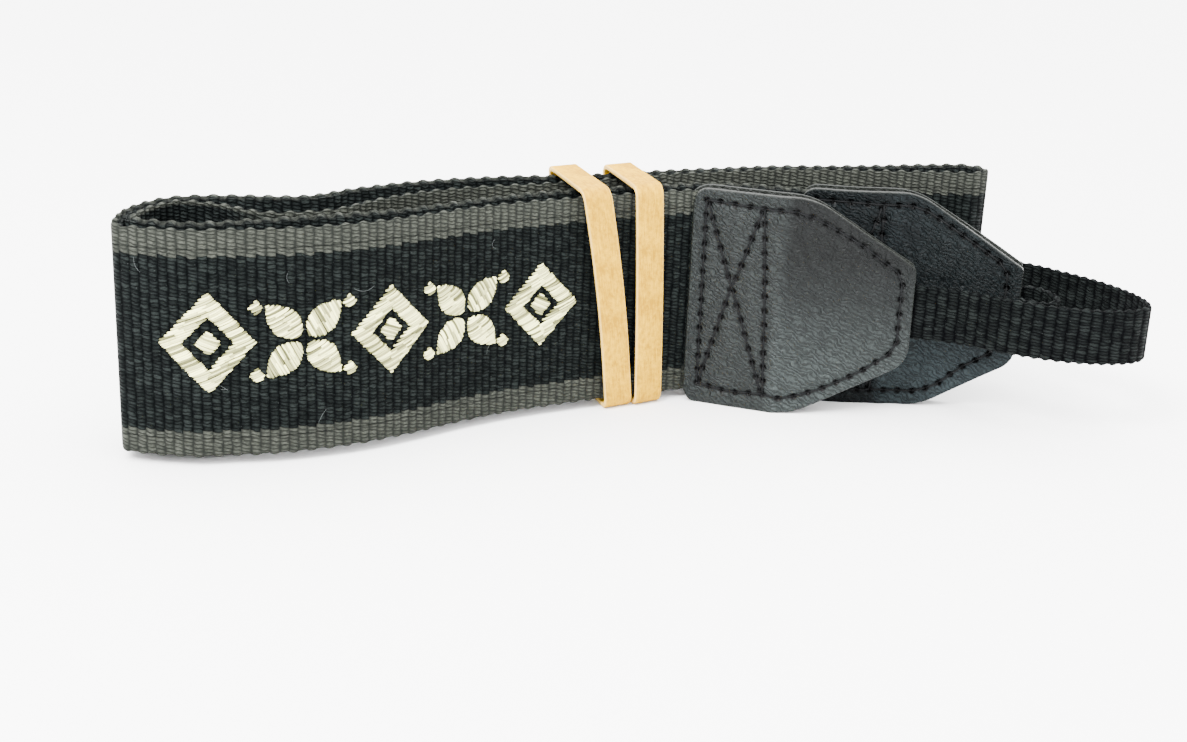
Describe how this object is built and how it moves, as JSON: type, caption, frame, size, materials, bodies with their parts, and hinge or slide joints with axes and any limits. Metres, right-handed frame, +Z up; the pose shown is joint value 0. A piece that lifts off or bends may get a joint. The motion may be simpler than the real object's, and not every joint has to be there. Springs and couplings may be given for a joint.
{
  "type": "folded camera strap with rubber bands",
  "caption": "Wide woven camera strap with leather tabs and narrow lug straps, folded into a bundle and held by rubber bands.",
  "frame": {"origin": "centre of the bundle's box on the surface that it stands on", "axes": "+X along the folded bundle towards the lug straps, +Y towards its back, +Z up across the webbing's width"},
  "size_m": [0.1636, 0.0816, 0.0404],
  "materials": {
    "webbing": "ribbed black weave with grey edge stripes",
    "leather": "fine grained dark grey leather with stitched edges",
    "lug_webbing": "ribbed black narrow weave",
    "rubber": "matte tan rubber with fine dust",
    "embroidery": "cream satin stitch thread",
    "stitching": "black sewing thread"
  },
  "bodies": {
    "root": {"strap_webbing": "webbing", "front_tab_face": "leather", "front_tab_back": "leather", "rear_tab_face": "leather", "rear_tab_back": "leather", "front_lug_strap": "lug_webbing", "rear_lug_strap": "lug_webbing", "rubber_band_left": "rubber", "rubber_band_right": "rubber"}
  },
  "joints": []
}
